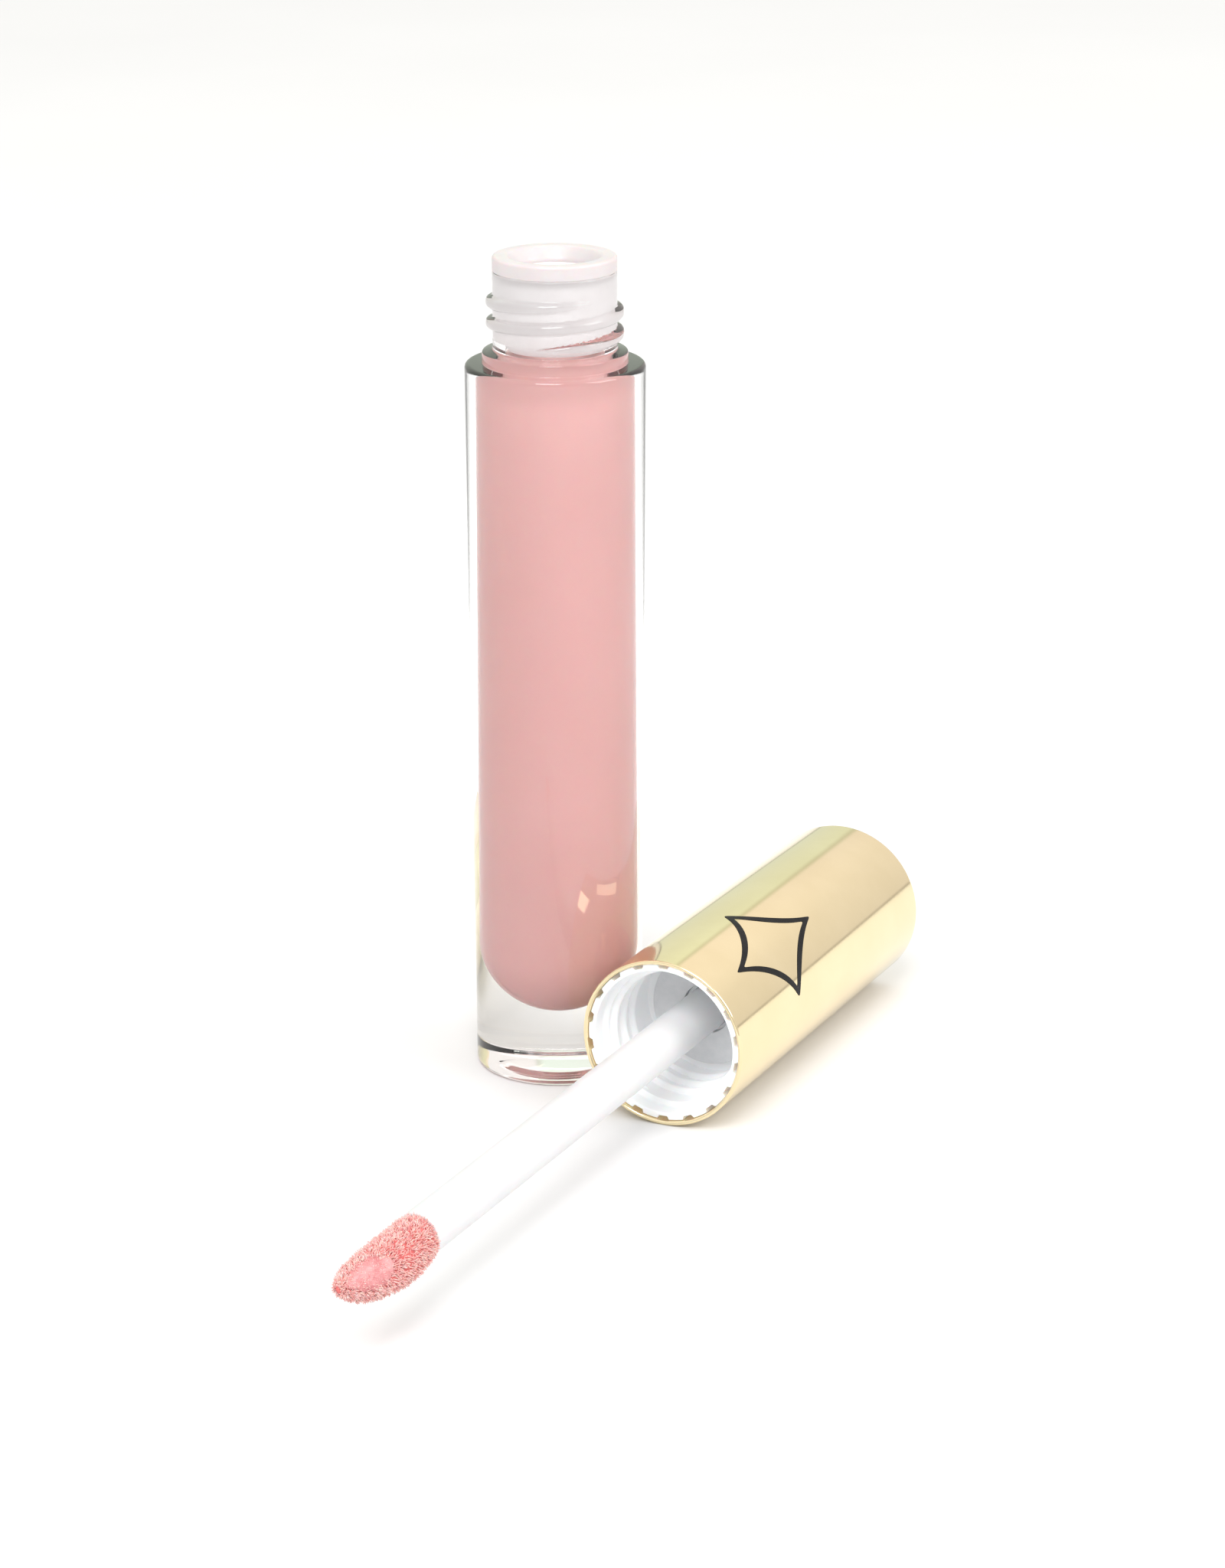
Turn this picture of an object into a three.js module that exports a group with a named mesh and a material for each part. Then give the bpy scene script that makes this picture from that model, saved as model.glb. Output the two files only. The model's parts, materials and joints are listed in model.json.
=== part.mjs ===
// Lip gloss tube with its cap off: a thick-walled clear bottle standing upright, and the
// gold cap with its wand and flocked doe-foot tip lying beside it.
// Millimetres, +Z up. The origin is on the table, under the middle of the whole layout. The
// pieces are built about the bottle's axis and the layout is centred at the end.
import * as THREE from 'three';

const TAU = 2 * Math.PI;

// ---- Driving dimensions ------------------------------------------------------------------
const FIT_GAP = 0.1; // between pieces that are pressed or glued together
const SEAT_GAP = 0.15; // between the cap's mouth and the shoulder when the tube is closed
const THREAD_LEAD = 2.25;
const THREAD_STEP = 0.28; // height between the rows of facets on a threaded wall
const THREAD_FADE = 1.1; // angle over which a ridge rises at each end of its run

// Bottle
const SHOULDER_Z = 79.0;
const SHOULDER_R = 9.65;
const BASE_R = 9.1; // the body has a slight moulding draft
const SHOULDER_EDGE = 0.55;
const BASE_EDGE = 0.75;
const RECESS_R = 4.1; // shallow dimple under the base
const RECESS_DEPTH = 0.5;
const BORE_R = 5.3;
const BORE_FLOOR_Z = 7.1;
const BORE_DOME = 6.2; // height of the rounded bottom of the bore
const COLLAR_R = 7.77;
const COLLAR_HEIGHT = 1.25;
const COLLAR_SLOPE = 0.35;
const COLLAR_EDGE = 0.15;
const NECK_R = 6.62;
const NECK_TOP_Z = 88.85;
const NECK_EDGE = 0.35;
const THREAD_START_Z = 81.55;
const THREAD_TURNS = 2.15;
const THREAD_HEIGHT = 0.73;
const THREAD_WIDTH = 1.5;
const THREAD_START_ANGLE = THREE.MathUtils.degToRad(-107.5);

// Wiper
const WIPER_TOP_Z = 90.5;
const WIPER_BOTTOM_Z = 80.6;
const WIPER_MOUTH_R = 4.9;
const WIPER_BORE_R = 4.0;
const WIPER_LIP_R = 3.3; // stretched open, as it is when the tip goes through
const WIPER_LIP_HEIGHT = 0.5;
const WIPER_LIP_RISE = 2.2; // from the lip's foot to where the bore is straight
const WIPER_FUNNEL = 1.3; // depth of the funnel at the wiper's mouth
const WIPER_EDGE = 0.25;
const WIPER_LEAD = 0.5; // chamfer at the foot of the sleeve: across, and up
const WIPER_LEAD_HEIGHT = 0.8;

// Gloss
const GLOSS_TOP_Z = 80.4;
const GLOSS_CHANNEL_R = 3.45; // the room that the wand takes up when the tube is closed
const GLOSS_CHANNEL_FLOOR_Z = 10.2;
const GLOSS_CHANNEL_TAPER = 4.2; // height over which the channel narrows towards its floor
const GLOSS_CHANNEL_END_R = 2.45;
const GLOSS_CHANNEL_END = 1.2;

// Cap, measured along its own axis from its mouth at 0
const CAP_R = 9.3;
const CAP_LENGTH = 50.5;
const SHELL_WALL = 0.45;
const SHELL_EDGE = 0.9;
const LINER_GAP = 0.06;
const MOUTH_BORE_R = 8.05;
const MOUTH_BORE_DEPTH = 2.6;
const THREAD_BORE_R = 7.5;
const CEILING = 12.6;
const CEILING_WALL = 1.4;
const LINER_TOP = 49.7;
const LINER_WALL = 0.95;
const LINER_INSET = 0.35; // the white rim stands this far inside the shell's lip
const LINER_EDGE = 0.12;
const LINER_TAPER = 0.6; // the sleeve's far end is tapered for assembly: across, and along
const LINER_TAPER_LENGTH = 1;
const MOUTH_CHAMFER = 0.4; // from the mouth's plain bore to the threaded bore
const NOTCH_COUNT = 18;
const NOTCH_WIDTH = 1.1;
const NOTCH_DEPTH = 0.42;
const NOTCH_FLARE = 1.12; // how much wider a notch is at its mouth than on its floor
const CAP_RIDGE_HEIGHT = 0.62;
const CAP_RIDGE_WIDTH = 1.0;
const CAP_RIDGE_TURNS = 3.1;
const CAP_RIDGE_START = 3.2125;
const SOCKET_R = 4.1;
const SOCKET_TOP = 19.5;
const SEAL_R = 6.4;
const SEAL_HOLE_R = 2.75;
const SEAL_THICKNESS = 0.9;
const SEAL_EDGE = 0.15;

// Wand and tip, also from the cap's mouth; the wand points to minus
const STEM_R = 2.41;
const STEM_ROOT = 18.2;
const STEM_END = -56.0;
const STEM_EDGE = 0.2;
const TENON_R = 1.1;
const TENON_LENGTH = 6;
const TENON_END_GAP = 0.2; // between the tenon's end and the floor of its bore
const TIP_NOSE = -70.3;
const FLOCK_THICKNESS = 0.36;
const GLUE_GAP = 0.06; // between the core and its flocking
const FACE_ANGLE = THREE.MathUtils.degToRad(52); // which way the slanted face looks
const SAG_ANGLE = FACE_ANGLE + Math.PI / 2; // the side that the tip bulges to
const SMEAR_FROM = -62.9;
const SMEAR_TO = -68.8;
const SMEAR_LIFT = 0.04; // over the flocking
const SMEAR_RIM = 0.03; // thickness at the smear's edge
const SMEAR_THICKNESS = 0.16;
const SMEAR_SPREAD_END = 0.22; // half angle that the smear covers at its ends
const SMEAR_SPREAD_MIDDLE = 0.5; // and how much more it covers in the middle

// Where the cap lies
const CAP_MOUTH = new THREE.Vector3(10.9, -20.14, CAP_R);
const CAP_AZIMUTH = THREE.MathUtils.degToRad(63.83);
const MARK_ANGLE = THREE.MathUtils.degToRad(41);
const MARK_CENTRE = 15.8;
const MARK_HALF_LENGTH = 9.6;
const MARK_HALF_WIDTH = 6.4;
const MARK_INNER = 0.82; // the outline's inner edge, as a share of its outer edge
const MARK_ROUNDNESS = 0.15; // 0 draws a star with cusps, 1 an ellipse
const MARK_LIFT = 0.04;
const MARK_THICKNESS = 0.05;

const ROUND = 60; // facets of the large turned pieces
const FINE = 48; // facets of the small turned pieces
const MARK_CORNERS = 96;

// ---- Materials ---------------------------------------------------------------------------
const clearPlastic = { color: 0xf3f4f5, roughness: 0.04, metalness: 0, transparent: true, opacity: 0.35 };
const milkyPlastic = { color: 0xf4f1f0, roughness: 0.35, metalness: 0 };
const glossPink = { color: 0xe6aba9, roughness: 0.25, metalness: 0 };
const goldMetal = { color: 0xeedcb8, roughness: 0.14, metalness: 1 };
const whitePlastic = { color: 0xf5f5f4, roughness: 0.4, metalness: 0 };
const flockPink = { color: 0xf3a79f, roughness: 0.95, metalness: 0 };
const blackInk = { color: 0x0b0b0b, roughness: 0.35, metalness: 0 };

// ---- Helpers -----------------------------------------------------------------------------
function named(name, geometry, look) {
  const flat = geometry.index ? geometry.toNonIndexed() : geometry;
  flat.computeVertexNormals();
  const mesh = new THREE.Mesh(flat, new THREE.MeshStandardMaterial(look));
  mesh.name = name;
  return mesh;
}

// A closed body turned about Z from [radius, height] points that run from the bottom inside
// or axis, outwards and up, and back to where they began.
function turned(points, facets) {
  const profile = points.map(([r, z]) => new THREE.Vector2(r, z));
  const lathe = new THREE.LatheGeometry(profile, facets);
  lathe.rotateX(Math.PI / 2);
  return lathe;
}

// Points on an arc in the profile plane, from one angle to another, ends included.
function arc(centreR, centreZ, radiusR, radiusZ, from, to, steps) {
  const points = [];
  for (let i = 0; i <= steps; i += 1) {
    const angle = from + ((to - from) * i) / steps;
    points.push([centreR + radiusR * Math.cos(angle), centreZ + radiusZ * Math.sin(angle)]);
  }
  return points;
}

// A closed skin over a stack of rings. Each ring is a list of THREE.Vector3, all of one length.
// With closed = true the last ring joins the first, otherwise both ends are capped.
function skin(rings, closed) {
  const count = rings[0].length;
  const positions = [];
  const index = [];
  rings.forEach((ring) => ring.forEach((p) => positions.push(p.x, p.y, p.z)));
  const bands = closed ? rings.length : rings.length - 1;
  for (let k = 0; k < bands; k += 1) {
    const a = k * count;
    const b = ((k + 1) % rings.length) * count;
    for (let i = 0; i < count; i += 1) {
      const j = (i + 1) % count;
      index.push(a + i, a + j, b + j, a + i, b + j, b + i);
    }
  }
  if (!closed) {
    addCap(positions, index, rings[0], 0, count, true);
    addCap(positions, index, rings[rings.length - 1], (rings.length - 1) * count, count, false);
  }
  const geometry = new THREE.BufferGeometry();
  geometry.setAttribute('position', new THREE.Float32BufferAttribute(positions, 3));
  geometry.setIndex(index);
  return geometry;
}

function addCap(positions, index, ring, start, count, reversed) {
  const centre = new THREE.Vector3();
  ring.forEach((p) => centre.add(p));
  centre.divideScalar(count);
  const hub = positions.length / 3;
  positions.push(centre.x, centre.y, centre.z);
  for (let i = 0; i < count; i += 1) {
    const j = (i + 1) % count;
    if (reversed) index.push(hub, start + j, start + i);
    else index.push(hub, start + i, start + j);
  }
}

// How far a helical ridge stands at one place: a rounded hump that follows the lead and fades
// away at both ends of its run.
function ridgeHeight({ height, width, startZ, startAngle, turns }, angle, z) {
  const first = Math.ceil(((z - width / 2 - startZ) / THREAD_LEAD) * TAU - angle + startAngle);
  let best = 0;
  for (let lap = Math.floor(first / TAU) - 1; lap <= first / TAU + 2; lap += 1) {
    const along = angle - startAngle + lap * TAU;
    if (along > 0 && along < turns * TAU) {
      const fade = Math.sqrt(Math.min(1, along / THREAD_FADE, (turns * TAU - along) / THREAD_FADE));
      const off = Math.abs(z - startZ - (along / TAU) * THREAD_LEAD) / (0.5 * width * fade);
      if (off < 1) best = Math.max(best, height * fade * Math.sqrt(1 - off * off));
    }
  }
  return best;
}

// Rings for skin(), turned from [radius, height] points that run from the bottom outwards, up
// the outside and down the inside. reshape may change a ring's radius from angle to angle.
function ringsOf(points, angles, reshape = (r) => r) {
  return points.map(([r, z]) => angles.map((angle) => polar(reshape(r, z, angle), angle, z)));
}

function evenAngles(count) {
  return Array.from({ length: count }, (_, i) => (i * TAU) / count);
}

// Points up or down a straight wall, close enough together to carry a ridge.
function threadedWall(r, fromZ, toZ) {
  const steps = Math.ceil(Math.abs(toZ - fromZ) / THREAD_STEP);
  return Array.from({ length: steps + 1 }, (_, i) => [r, fromZ + ((toZ - fromZ) * i) / steps]);
}

function polar(r, angle, z) {
  return new THREE.Vector3(r * Math.cos(angle), r * Math.sin(angle), z);
}

// ---- Bottle side -------------------------------------------------------------------------
function bottleGeometry() {
  const domeCentre = BORE_FLOOR_Z + BORE_DOME;
  const collarTop = SHOULDER_Z + COLLAR_HEIGHT;
  const profile = [
    [RECESS_R - RECESS_DEPTH, RECESS_DEPTH],
    [RECESS_R, 0],
    ...arc(BASE_R - BASE_EDGE, BASE_EDGE, BASE_EDGE, BASE_EDGE, -Math.PI / 2, 0, 4),
    ...arc(SHOULDER_R - SHOULDER_EDGE, SHOULDER_Z - SHOULDER_EDGE, SHOULDER_EDGE, SHOULDER_EDGE,
      0, Math.PI / 2, 4),
    [COLLAR_R, SHOULDER_Z],
    [COLLAR_R, collarTop - COLLAR_EDGE],
    [COLLAR_R - COLLAR_EDGE, collarTop],
    ...threadedWall(NECK_R, collarTop + COLLAR_SLOPE, NECK_TOP_Z - NECK_EDGE),
    ...arc(NECK_R - NECK_EDGE, NECK_TOP_Z - NECK_EDGE, NECK_EDGE, NECK_EDGE, 0.5, Math.PI / 2, 2),
    [BORE_R, NECK_TOP_Z],
    ...arc(0, domeCentre, BORE_R, BORE_DOME, 0, -Math.PI / 2 + 0.08, 8),
  ];
  const thread = {
    height: THREAD_HEIGHT,
    width: THREAD_WIDTH,
    startZ: THREAD_START_Z,
    startAngle: THREAD_START_ANGLE,
    turns: THREAD_TURNS,
  };
  const reshape = (r, z, angle) => (r === NECK_R ? r + ridgeHeight(thread, angle, z) : r);
  return skin(ringsOf(profile, evenAngles(ROUND), reshape), false);
}

function wiperGeometry() {
  const flangeBottom = NECK_TOP_Z + FIT_GAP;
  const sleeveR = BORE_R - FIT_GAP;
  const edge = WIPER_EDGE;
  const profile = [
    [WIPER_LIP_R, WIPER_BOTTOM_Z],
    [sleeveR - WIPER_LEAD, WIPER_BOTTOM_Z],
    [sleeveR, WIPER_BOTTOM_Z + WIPER_LEAD_HEIGHT],
    [sleeveR, flangeBottom],
    [NECK_R - edge, flangeBottom],
    [NECK_R, flangeBottom + edge],
    ...arc(NECK_R - edge, WIPER_TOP_Z - edge, edge, edge, 0, Math.PI / 2, 3),
    [WIPER_MOUTH_R + edge, WIPER_TOP_Z],
    [WIPER_MOUTH_R, WIPER_TOP_Z - edge],
    [WIPER_BORE_R, WIPER_TOP_Z - WIPER_FUNNEL],
    [WIPER_BORE_R, WIPER_BOTTOM_Z + WIPER_LIP_RISE],
    [WIPER_LIP_R, WIPER_BOTTOM_Z + WIPER_LIP_HEIGHT],
    [WIPER_LIP_R, WIPER_BOTTOM_Z],
  ];
  return turned(profile, FINE);
}

function glossFillGeometry() {
  const gap = FIT_GAP;
  const radius = BORE_R - gap;
  const domeCentre = BORE_FLOOR_Z + BORE_DOME;
  const dome = arc(0, domeCentre, radius, BORE_DOME - gap, -Math.PI / 2, 0, 9);
  const profile = [
    ...dome,
    [radius, GLOSS_TOP_Z],
    [GLOSS_CHANNEL_R, GLOSS_TOP_Z],
    [GLOSS_CHANNEL_R, GLOSS_CHANNEL_FLOOR_Z + GLOSS_CHANNEL_TAPER],
    [GLOSS_CHANNEL_END_R, GLOSS_CHANNEL_FLOOR_Z + GLOSS_CHANNEL_END],
    [0, GLOSS_CHANNEL_FLOOR_Z],
  ];
  return turned(profile, FINE);
}

// ---- Cap side, built upright with the mouth at z = 0 --------------------------------------
function capShellGeometry() {
  const inner = CAP_R - SHELL_WALL;
  const lip = SHELL_WALL / 2;
  const profile = [
    [0, CAP_LENGTH - SHELL_WALL],
    [inner - SHELL_EDGE / 2, CAP_LENGTH - SHELL_WALL],
    [inner, CAP_LENGTH - SHELL_WALL - SHELL_EDGE / 2],
    ...arc(CAP_R - lip, lip, lip, lip, Math.PI, TAU, 6),
    ...arc(CAP_R - SHELL_EDGE, CAP_LENGTH - SHELL_EDGE, SHELL_EDGE, SHELL_EDGE, 0, Math.PI / 2, 5),
    [0, CAP_LENGTH],
  ];
  return turned(profile, ROUND);
}

// The white inner cap: a notched skirt with the thread inside it, a ceiling that carries the
// wand's socket, and a plain sleeve above that backs the shell.
function innerCapGeometry() {
  const outer = CAP_R - SHELL_WALL - LINER_GAP;
  const ceilingTop = CEILING + CEILING_WALL;
  const stemHole = STEM_R + FIT_GAP / 2;
  const wall = threadedWall(THREAD_BORE_R, CEILING, MOUTH_BORE_DEPTH);
  const profile = [
    [stemHole, STEM_ROOT + FIT_GAP],
    [stemHole, CEILING],
    ...wall,
    [MOUTH_BORE_R, MOUTH_BORE_DEPTH - MOUTH_CHAMFER],
    [MOUTH_BORE_R, LINER_INSET + LINER_EDGE],
    [MOUTH_BORE_R + LINER_EDGE, LINER_INSET],
    [outer - NOTCH_DEPTH - LINER_EDGE / 2, LINER_INSET],
    [outer, LINER_INSET + LINER_EDGE],
    [outer, LINER_TOP - LINER_TAPER_LENGTH],
    [outer - LINER_TAPER, LINER_TOP],
    [outer - LINER_WALL, LINER_TOP],
    [outer - LINER_WALL, ceilingTop],
    [SOCKET_R, ceilingTop],
    [SOCKET_R, SOCKET_TOP],
  ];
  const ridge = {
    height: CAP_RIDGE_HEIGHT,
    width: CAP_RIDGE_WIDTH,
    startZ: CAP_RIDGE_START,
    startAngle: ridgeAngleAt(CAP_RIDGE_START),
    turns: CAP_RIDGE_TURNS,
  };
  const reshape = (r, z, angle) => {
    if (r === THREAD_BORE_R) return r - ridgeHeight(ridge, angle, z);
    return r === outer && inNotch(angle) ? r - NOTCH_DEPTH : r;
  };
  return skin(ringsOf(profile, notchedAngles(), reshape), false);
}

// Four facet edges to each notch: two on its floor and two on the ribs beside it.
function notchedAngles() {
  const half = NOTCH_WIDTH / 2 / CAP_R;
  const side = half * NOTCH_FLARE;
  const offsets = [-side, -half, half, side];
  const angles = [];
  for (let i = 0; i < NOTCH_COUNT; i += 1) {
    offsets.forEach((offset) => angles.push((i * TAU) / NOTCH_COUNT + offset));
  }
  return angles;
}

function inNotch(angle) {
  const pitch = TAU / NOTCH_COUNT;
  const off = Math.abs(angle - pitch * Math.round(angle / pitch));
  return off < (NOTCH_WIDTH / 2 / CAP_R) * (1 + NOTCH_FLARE) / 2;
}

// The cap's ridge runs midway between the turns of the bottle's thread when the cap is seated.
function ridgeAngleAt(z) {
  const seatedMouthZ = SHOULDER_Z + SEAT_GAP;
  const rise = z + seatedMouthZ - THREAD_START_Z - THREAD_LEAD / 2;
  return THREAD_START_ANGLE + (TAU * rise) / THREAD_LEAD;
}

function sealRingGeometry() {
  const top = CEILING - FIT_GAP;
  const bottom = top - SEAL_THICKNESS;
  return turned([
    [SEAL_HOLE_R, bottom],
    [SEAL_R - SEAL_EDGE, bottom],
    [SEAL_R, bottom + SEAL_EDGE],
    [SEAL_R, top],
    [SEAL_HOLE_R, top],
    [SEAL_HOLE_R, bottom],
  ], FINE);
}

function stemGeometry() {
  const boreR = TENON_R + FIT_GAP;
  const boreTop = STEM_END + TENON_LENGTH + FIT_GAP;
  return turned([
    [0, boreTop],
    [boreR, boreTop],
    [boreR, STEM_END],
    [STEM_R - STEM_EDGE, STEM_END],
    [STEM_R, STEM_END + STEM_EDGE],
    [STEM_R, STEM_ROOT - STEM_EDGE],
    [STEM_R - STEM_EDGE, STEM_ROOT],
    [0, STEM_ROOT],
  ], FINE);
}

// The doe-foot tip. A station gives, at a place along the wand: half width across the face,
// half depth to the face, half depth to the back, and how far the section sags sideways.
const TIP_STATIONS = [
  { at: STEM_END - 0.15, width: 1.98, face: 1.98, back: 1.98, sag: 0 },
  { at: -57.6, width: 2.15, face: 2.15, back: 2.1, sag: 0.2 },
  { at: -59.8, width: 2.3, face: 2.0, back: 2.15, sag: 0.38 },
  { at: -62.6, width: 2.25, face: 1.35, back: 2.1, sag: 0.36 },
  { at: -65.4, width: 1.93, face: 0.55, back: 2.0, sag: 0.15 },
  { at: -67.8, width: 1.36, face: -0.15, back: 1.6, sag: -0.12 },
  { at: -69.3, width: 0.72, face: -0.5, back: 1.15, sag: -0.38 },
  { at: TIP_NOSE + FLOCK_THICKNESS, width: 0.32, face: -0.68, back: 0.98, sag: -0.5 },
];
const TIP_FACETS = 28;
const SMEAR_STEPS = 8; // facets along the smear, and across it

// One point on the tip: a superellipse that is flatter on the face than on the back.
function tipPoint(station, t, offset) {
  const c = Math.cos(t);
  const s = Math.sin(t);
  const power = s > 0 ? 0.75 : 1;
  const middle = (station.face - station.back) / 2;
  const depth = (station.face + station.back) / 2 + offset;
  const across = (station.width + offset) * c + station.sag;
  const towards = middle + depth * Math.sign(s) * Math.abs(s) ** power;
  const x = towards * Math.cos(FACE_ANGLE) + across * Math.cos(SAG_ANGLE);
  const y = towards * Math.sin(FACE_ANGLE) + across * Math.sin(SAG_ANGLE);
  return new THREE.Vector3(x, y, station.at);
}

function tipRing(station, offset) {
  const ring = [];
  for (let i = 0; i < TIP_FACETS; i += 1) {
    ring.push(tipPoint(station, (-i * TAU) / TIP_FACETS, offset));
  }
  return ring;
}

function tipCoreGeometry() {
  const foot = [...TIP_STATIONS].reverse().map((station) => tipRing(station, 0));
  const shoulder = TIP_STATIONS[0].at;
  const tenonTop = STEM_END + TENON_LENGTH - TENON_END_GAP;
  const angles = tipRing(TIP_STATIONS[0], 0).map((p) => Math.atan2(p.y, p.x));
  return skin([...foot, ...ringsOf([[TENON_R, shoulder], [TENON_R, tenonTop]], angles)], false);
}

// The flocking is a thimble over the core, open towards the wand.
function flockGeometry() {
  const gap = GLUE_GAP;
  const nose = TIP_STATIONS[TIP_STATIONS.length - 1];
  const tipEnd = { ...nose, at: TIP_NOSE, width: 0.2, face: nose.face - 0.2, back: nose.back - 0.2 };
  const coreNose = { ...nose, at: nose.at - gap };
  const outside = [...TIP_STATIONS, tipEnd].map((station) => tipRing(station, FLOCK_THICKNESS));
  const inside = [...TIP_STATIONS.slice(0, -1), coreNose].map((station) => tipRing(station, gap));
  return skin([...outside.reverse(), ...inside], false);
}

// A thin smear of gloss on the slanted face, proud of the flocking.
function smearGeometry() {
  const rings = [];
  for (let k = 0; k <= SMEAR_STEPS; k += 1) {
    const along = k / SMEAR_STEPS;
    const station = stationAt(SMEAR_FROM + (SMEAR_TO - SMEAR_FROM) * along);
    rings.push(smearRing(station, Math.sin(Math.PI * (0.05 + 0.9 * along))));
  }
  return skin(rings.reverse(), false);
}

// One section of the smear. Fullness runs from near 0 at its ends to 1 in its middle.
function smearRing(station, fullness) {
  const lower = FLOCK_THICKNESS + SMEAR_LIFT;
  const spread = SMEAR_SPREAD_END + SMEAR_SPREAD_MIDDLE * fullness;
  const top = [];
  const underside = [];
  for (let i = 0; i <= SMEAR_STEPS; i += 1) {
    const share = i / SMEAR_STEPS;
    const t = Math.PI / 2 + spread * (1 - 2 * share);
    const rise = SMEAR_RIM + SMEAR_THICKNESS * fullness * Math.sin(Math.PI * share);
    top.push(tipPoint(station, t, lower + rise));
    underside.unshift(tipPoint(station, t, lower));
  }
  return [...top, ...underside];
}

function stationAt(at) {
  const next = TIP_STATIONS.findIndex((station) => station.at <= at);
  const a = TIP_STATIONS[next - 1];
  const b = TIP_STATIONS[next];
  const f = (a.at - at) / (a.at - b.at);
  const mix = (key) => a[key] + (b[key] - a[key]) * f;
  return { at, width: mix('width'), face: mix('face'), back: mix('back'), sag: mix('sag') };
}

// A plain ornament printed on the shell: the outline of a four-pointed star.
function markGeometry() {
  const rings = evenAngles(MARK_CORNERS).map((t) => {
    const outer = [MARK_HALF_LENGTH * pointed(Math.cos(t)), MARK_HALF_WIDTH * pointed(Math.sin(t))];
    return strokeSection(outer, outer.map((value) => value * MARK_INNER));
  });
  return skin(rings, true);
}

function pointed(wave) {
  return MARK_ROUNDNESS * wave + (1 - MARK_ROUNDNESS) * wave ** 3;
}

// The stroke's section at one place on the outline, wrapped onto the shell.
function strokeSection(outer, inner) {
  const low = CAP_R + MARK_LIFT;
  const high = low + MARK_THICKNESS;
  return [onShell(outer, low), onShell(outer, high), onShell(inner, high), onShell(inner, low)];
}

function onShell([u, v], r) {
  return polar(r, MARK_ANGLE + v / CAP_R, MARK_CENTRE + u);
}

// ---- Assembly ----------------------------------------------------------------------------
function bottleGroup() {
  const group = new THREE.Group();
  group.name = 'bottle_group';
  group.add(named('bottle', bottleGeometry(), clearPlastic));
  group.add(named('wiper', wiperGeometry(), milkyPlastic));
  group.add(named('gloss_fill', glossFillGeometry(), glossPink));
  return group;
}

function capGroup() {
  const group = new THREE.Group();
  group.name = 'cap_group';
  group.add(named('cap_shell', capShellGeometry(), goldMetal));
  group.add(named('cap_mark', markGeometry(), blackInk));
  group.add(named('inner_cap', innerCapGeometry(), whitePlastic));
  group.add(named('seal_ring', sealRingGeometry(), milkyPlastic));
  group.add(named('wand_stem', stemGeometry(), whitePlastic));
  group.add(named('tip_core', tipCoreGeometry(), whitePlastic));
  group.add(named('tip_flock', flockGeometry(), flockPink));
  group.add(named('gloss_smear', smearGeometry(), glossPink));
  // Lay the upright cap down: its axis goes level, pointing away from the mouth.
  const axis = new THREE.Vector3(Math.cos(CAP_AZIMUTH), Math.sin(CAP_AZIMUTH), 0);
  const left = new THREE.Vector3(-axis.y, axis.x, 0);
  const turn = new THREE.Matrix4().makeBasis(new THREE.Vector3(0, 0, 1), left.negate(), axis);
  group.quaternion.setFromRotationMatrix(turn);
  group.position.copy(CAP_MOUTH);
  return group;
}

const tube = new THREE.Group();
tube.name = 'lip_gloss_tube';
tube.add(bottleGroup(), capGroup());
const middle = new THREE.Box3().setFromObject(tube, true).getCenter(new THREE.Vector3());
tube.position.set(-middle.x, -middle.y, 0);

export default tube;
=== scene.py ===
# The looks of an open lip gloss tube: a clear bottle standing upright, and its gold cap with a
# wand and flocked tip lying beside it. Metres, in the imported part's frame.
import json
import math

import bpy
import numpy as np
from mathutils import Matrix, Vector


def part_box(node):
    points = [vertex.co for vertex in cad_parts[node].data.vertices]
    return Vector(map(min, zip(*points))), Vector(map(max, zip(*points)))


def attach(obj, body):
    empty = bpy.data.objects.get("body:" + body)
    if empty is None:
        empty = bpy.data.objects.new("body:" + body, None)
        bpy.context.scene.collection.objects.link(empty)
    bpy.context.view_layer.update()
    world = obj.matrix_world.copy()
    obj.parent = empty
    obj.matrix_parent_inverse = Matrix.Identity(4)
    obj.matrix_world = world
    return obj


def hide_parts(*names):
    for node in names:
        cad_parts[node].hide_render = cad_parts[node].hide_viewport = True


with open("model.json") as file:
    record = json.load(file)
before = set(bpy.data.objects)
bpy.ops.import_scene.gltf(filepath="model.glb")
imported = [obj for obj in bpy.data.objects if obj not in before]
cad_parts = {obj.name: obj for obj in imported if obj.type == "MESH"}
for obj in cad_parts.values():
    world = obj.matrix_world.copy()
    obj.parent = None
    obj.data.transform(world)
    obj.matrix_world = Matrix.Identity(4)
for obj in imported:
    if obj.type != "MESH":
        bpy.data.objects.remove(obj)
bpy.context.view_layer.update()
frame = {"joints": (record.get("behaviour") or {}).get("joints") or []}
MM = 0.001
TAU = 2 * math.pi
SEED = 7

# ---- Dimensions of the part, in millimetres ------------------------------------------------
NEAR_AXIS = 0.02  # where a turned profile stops short of its axis; a fan closes it
STEM_GAP = 0.02  # between the wand and the hole in its socket

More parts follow.
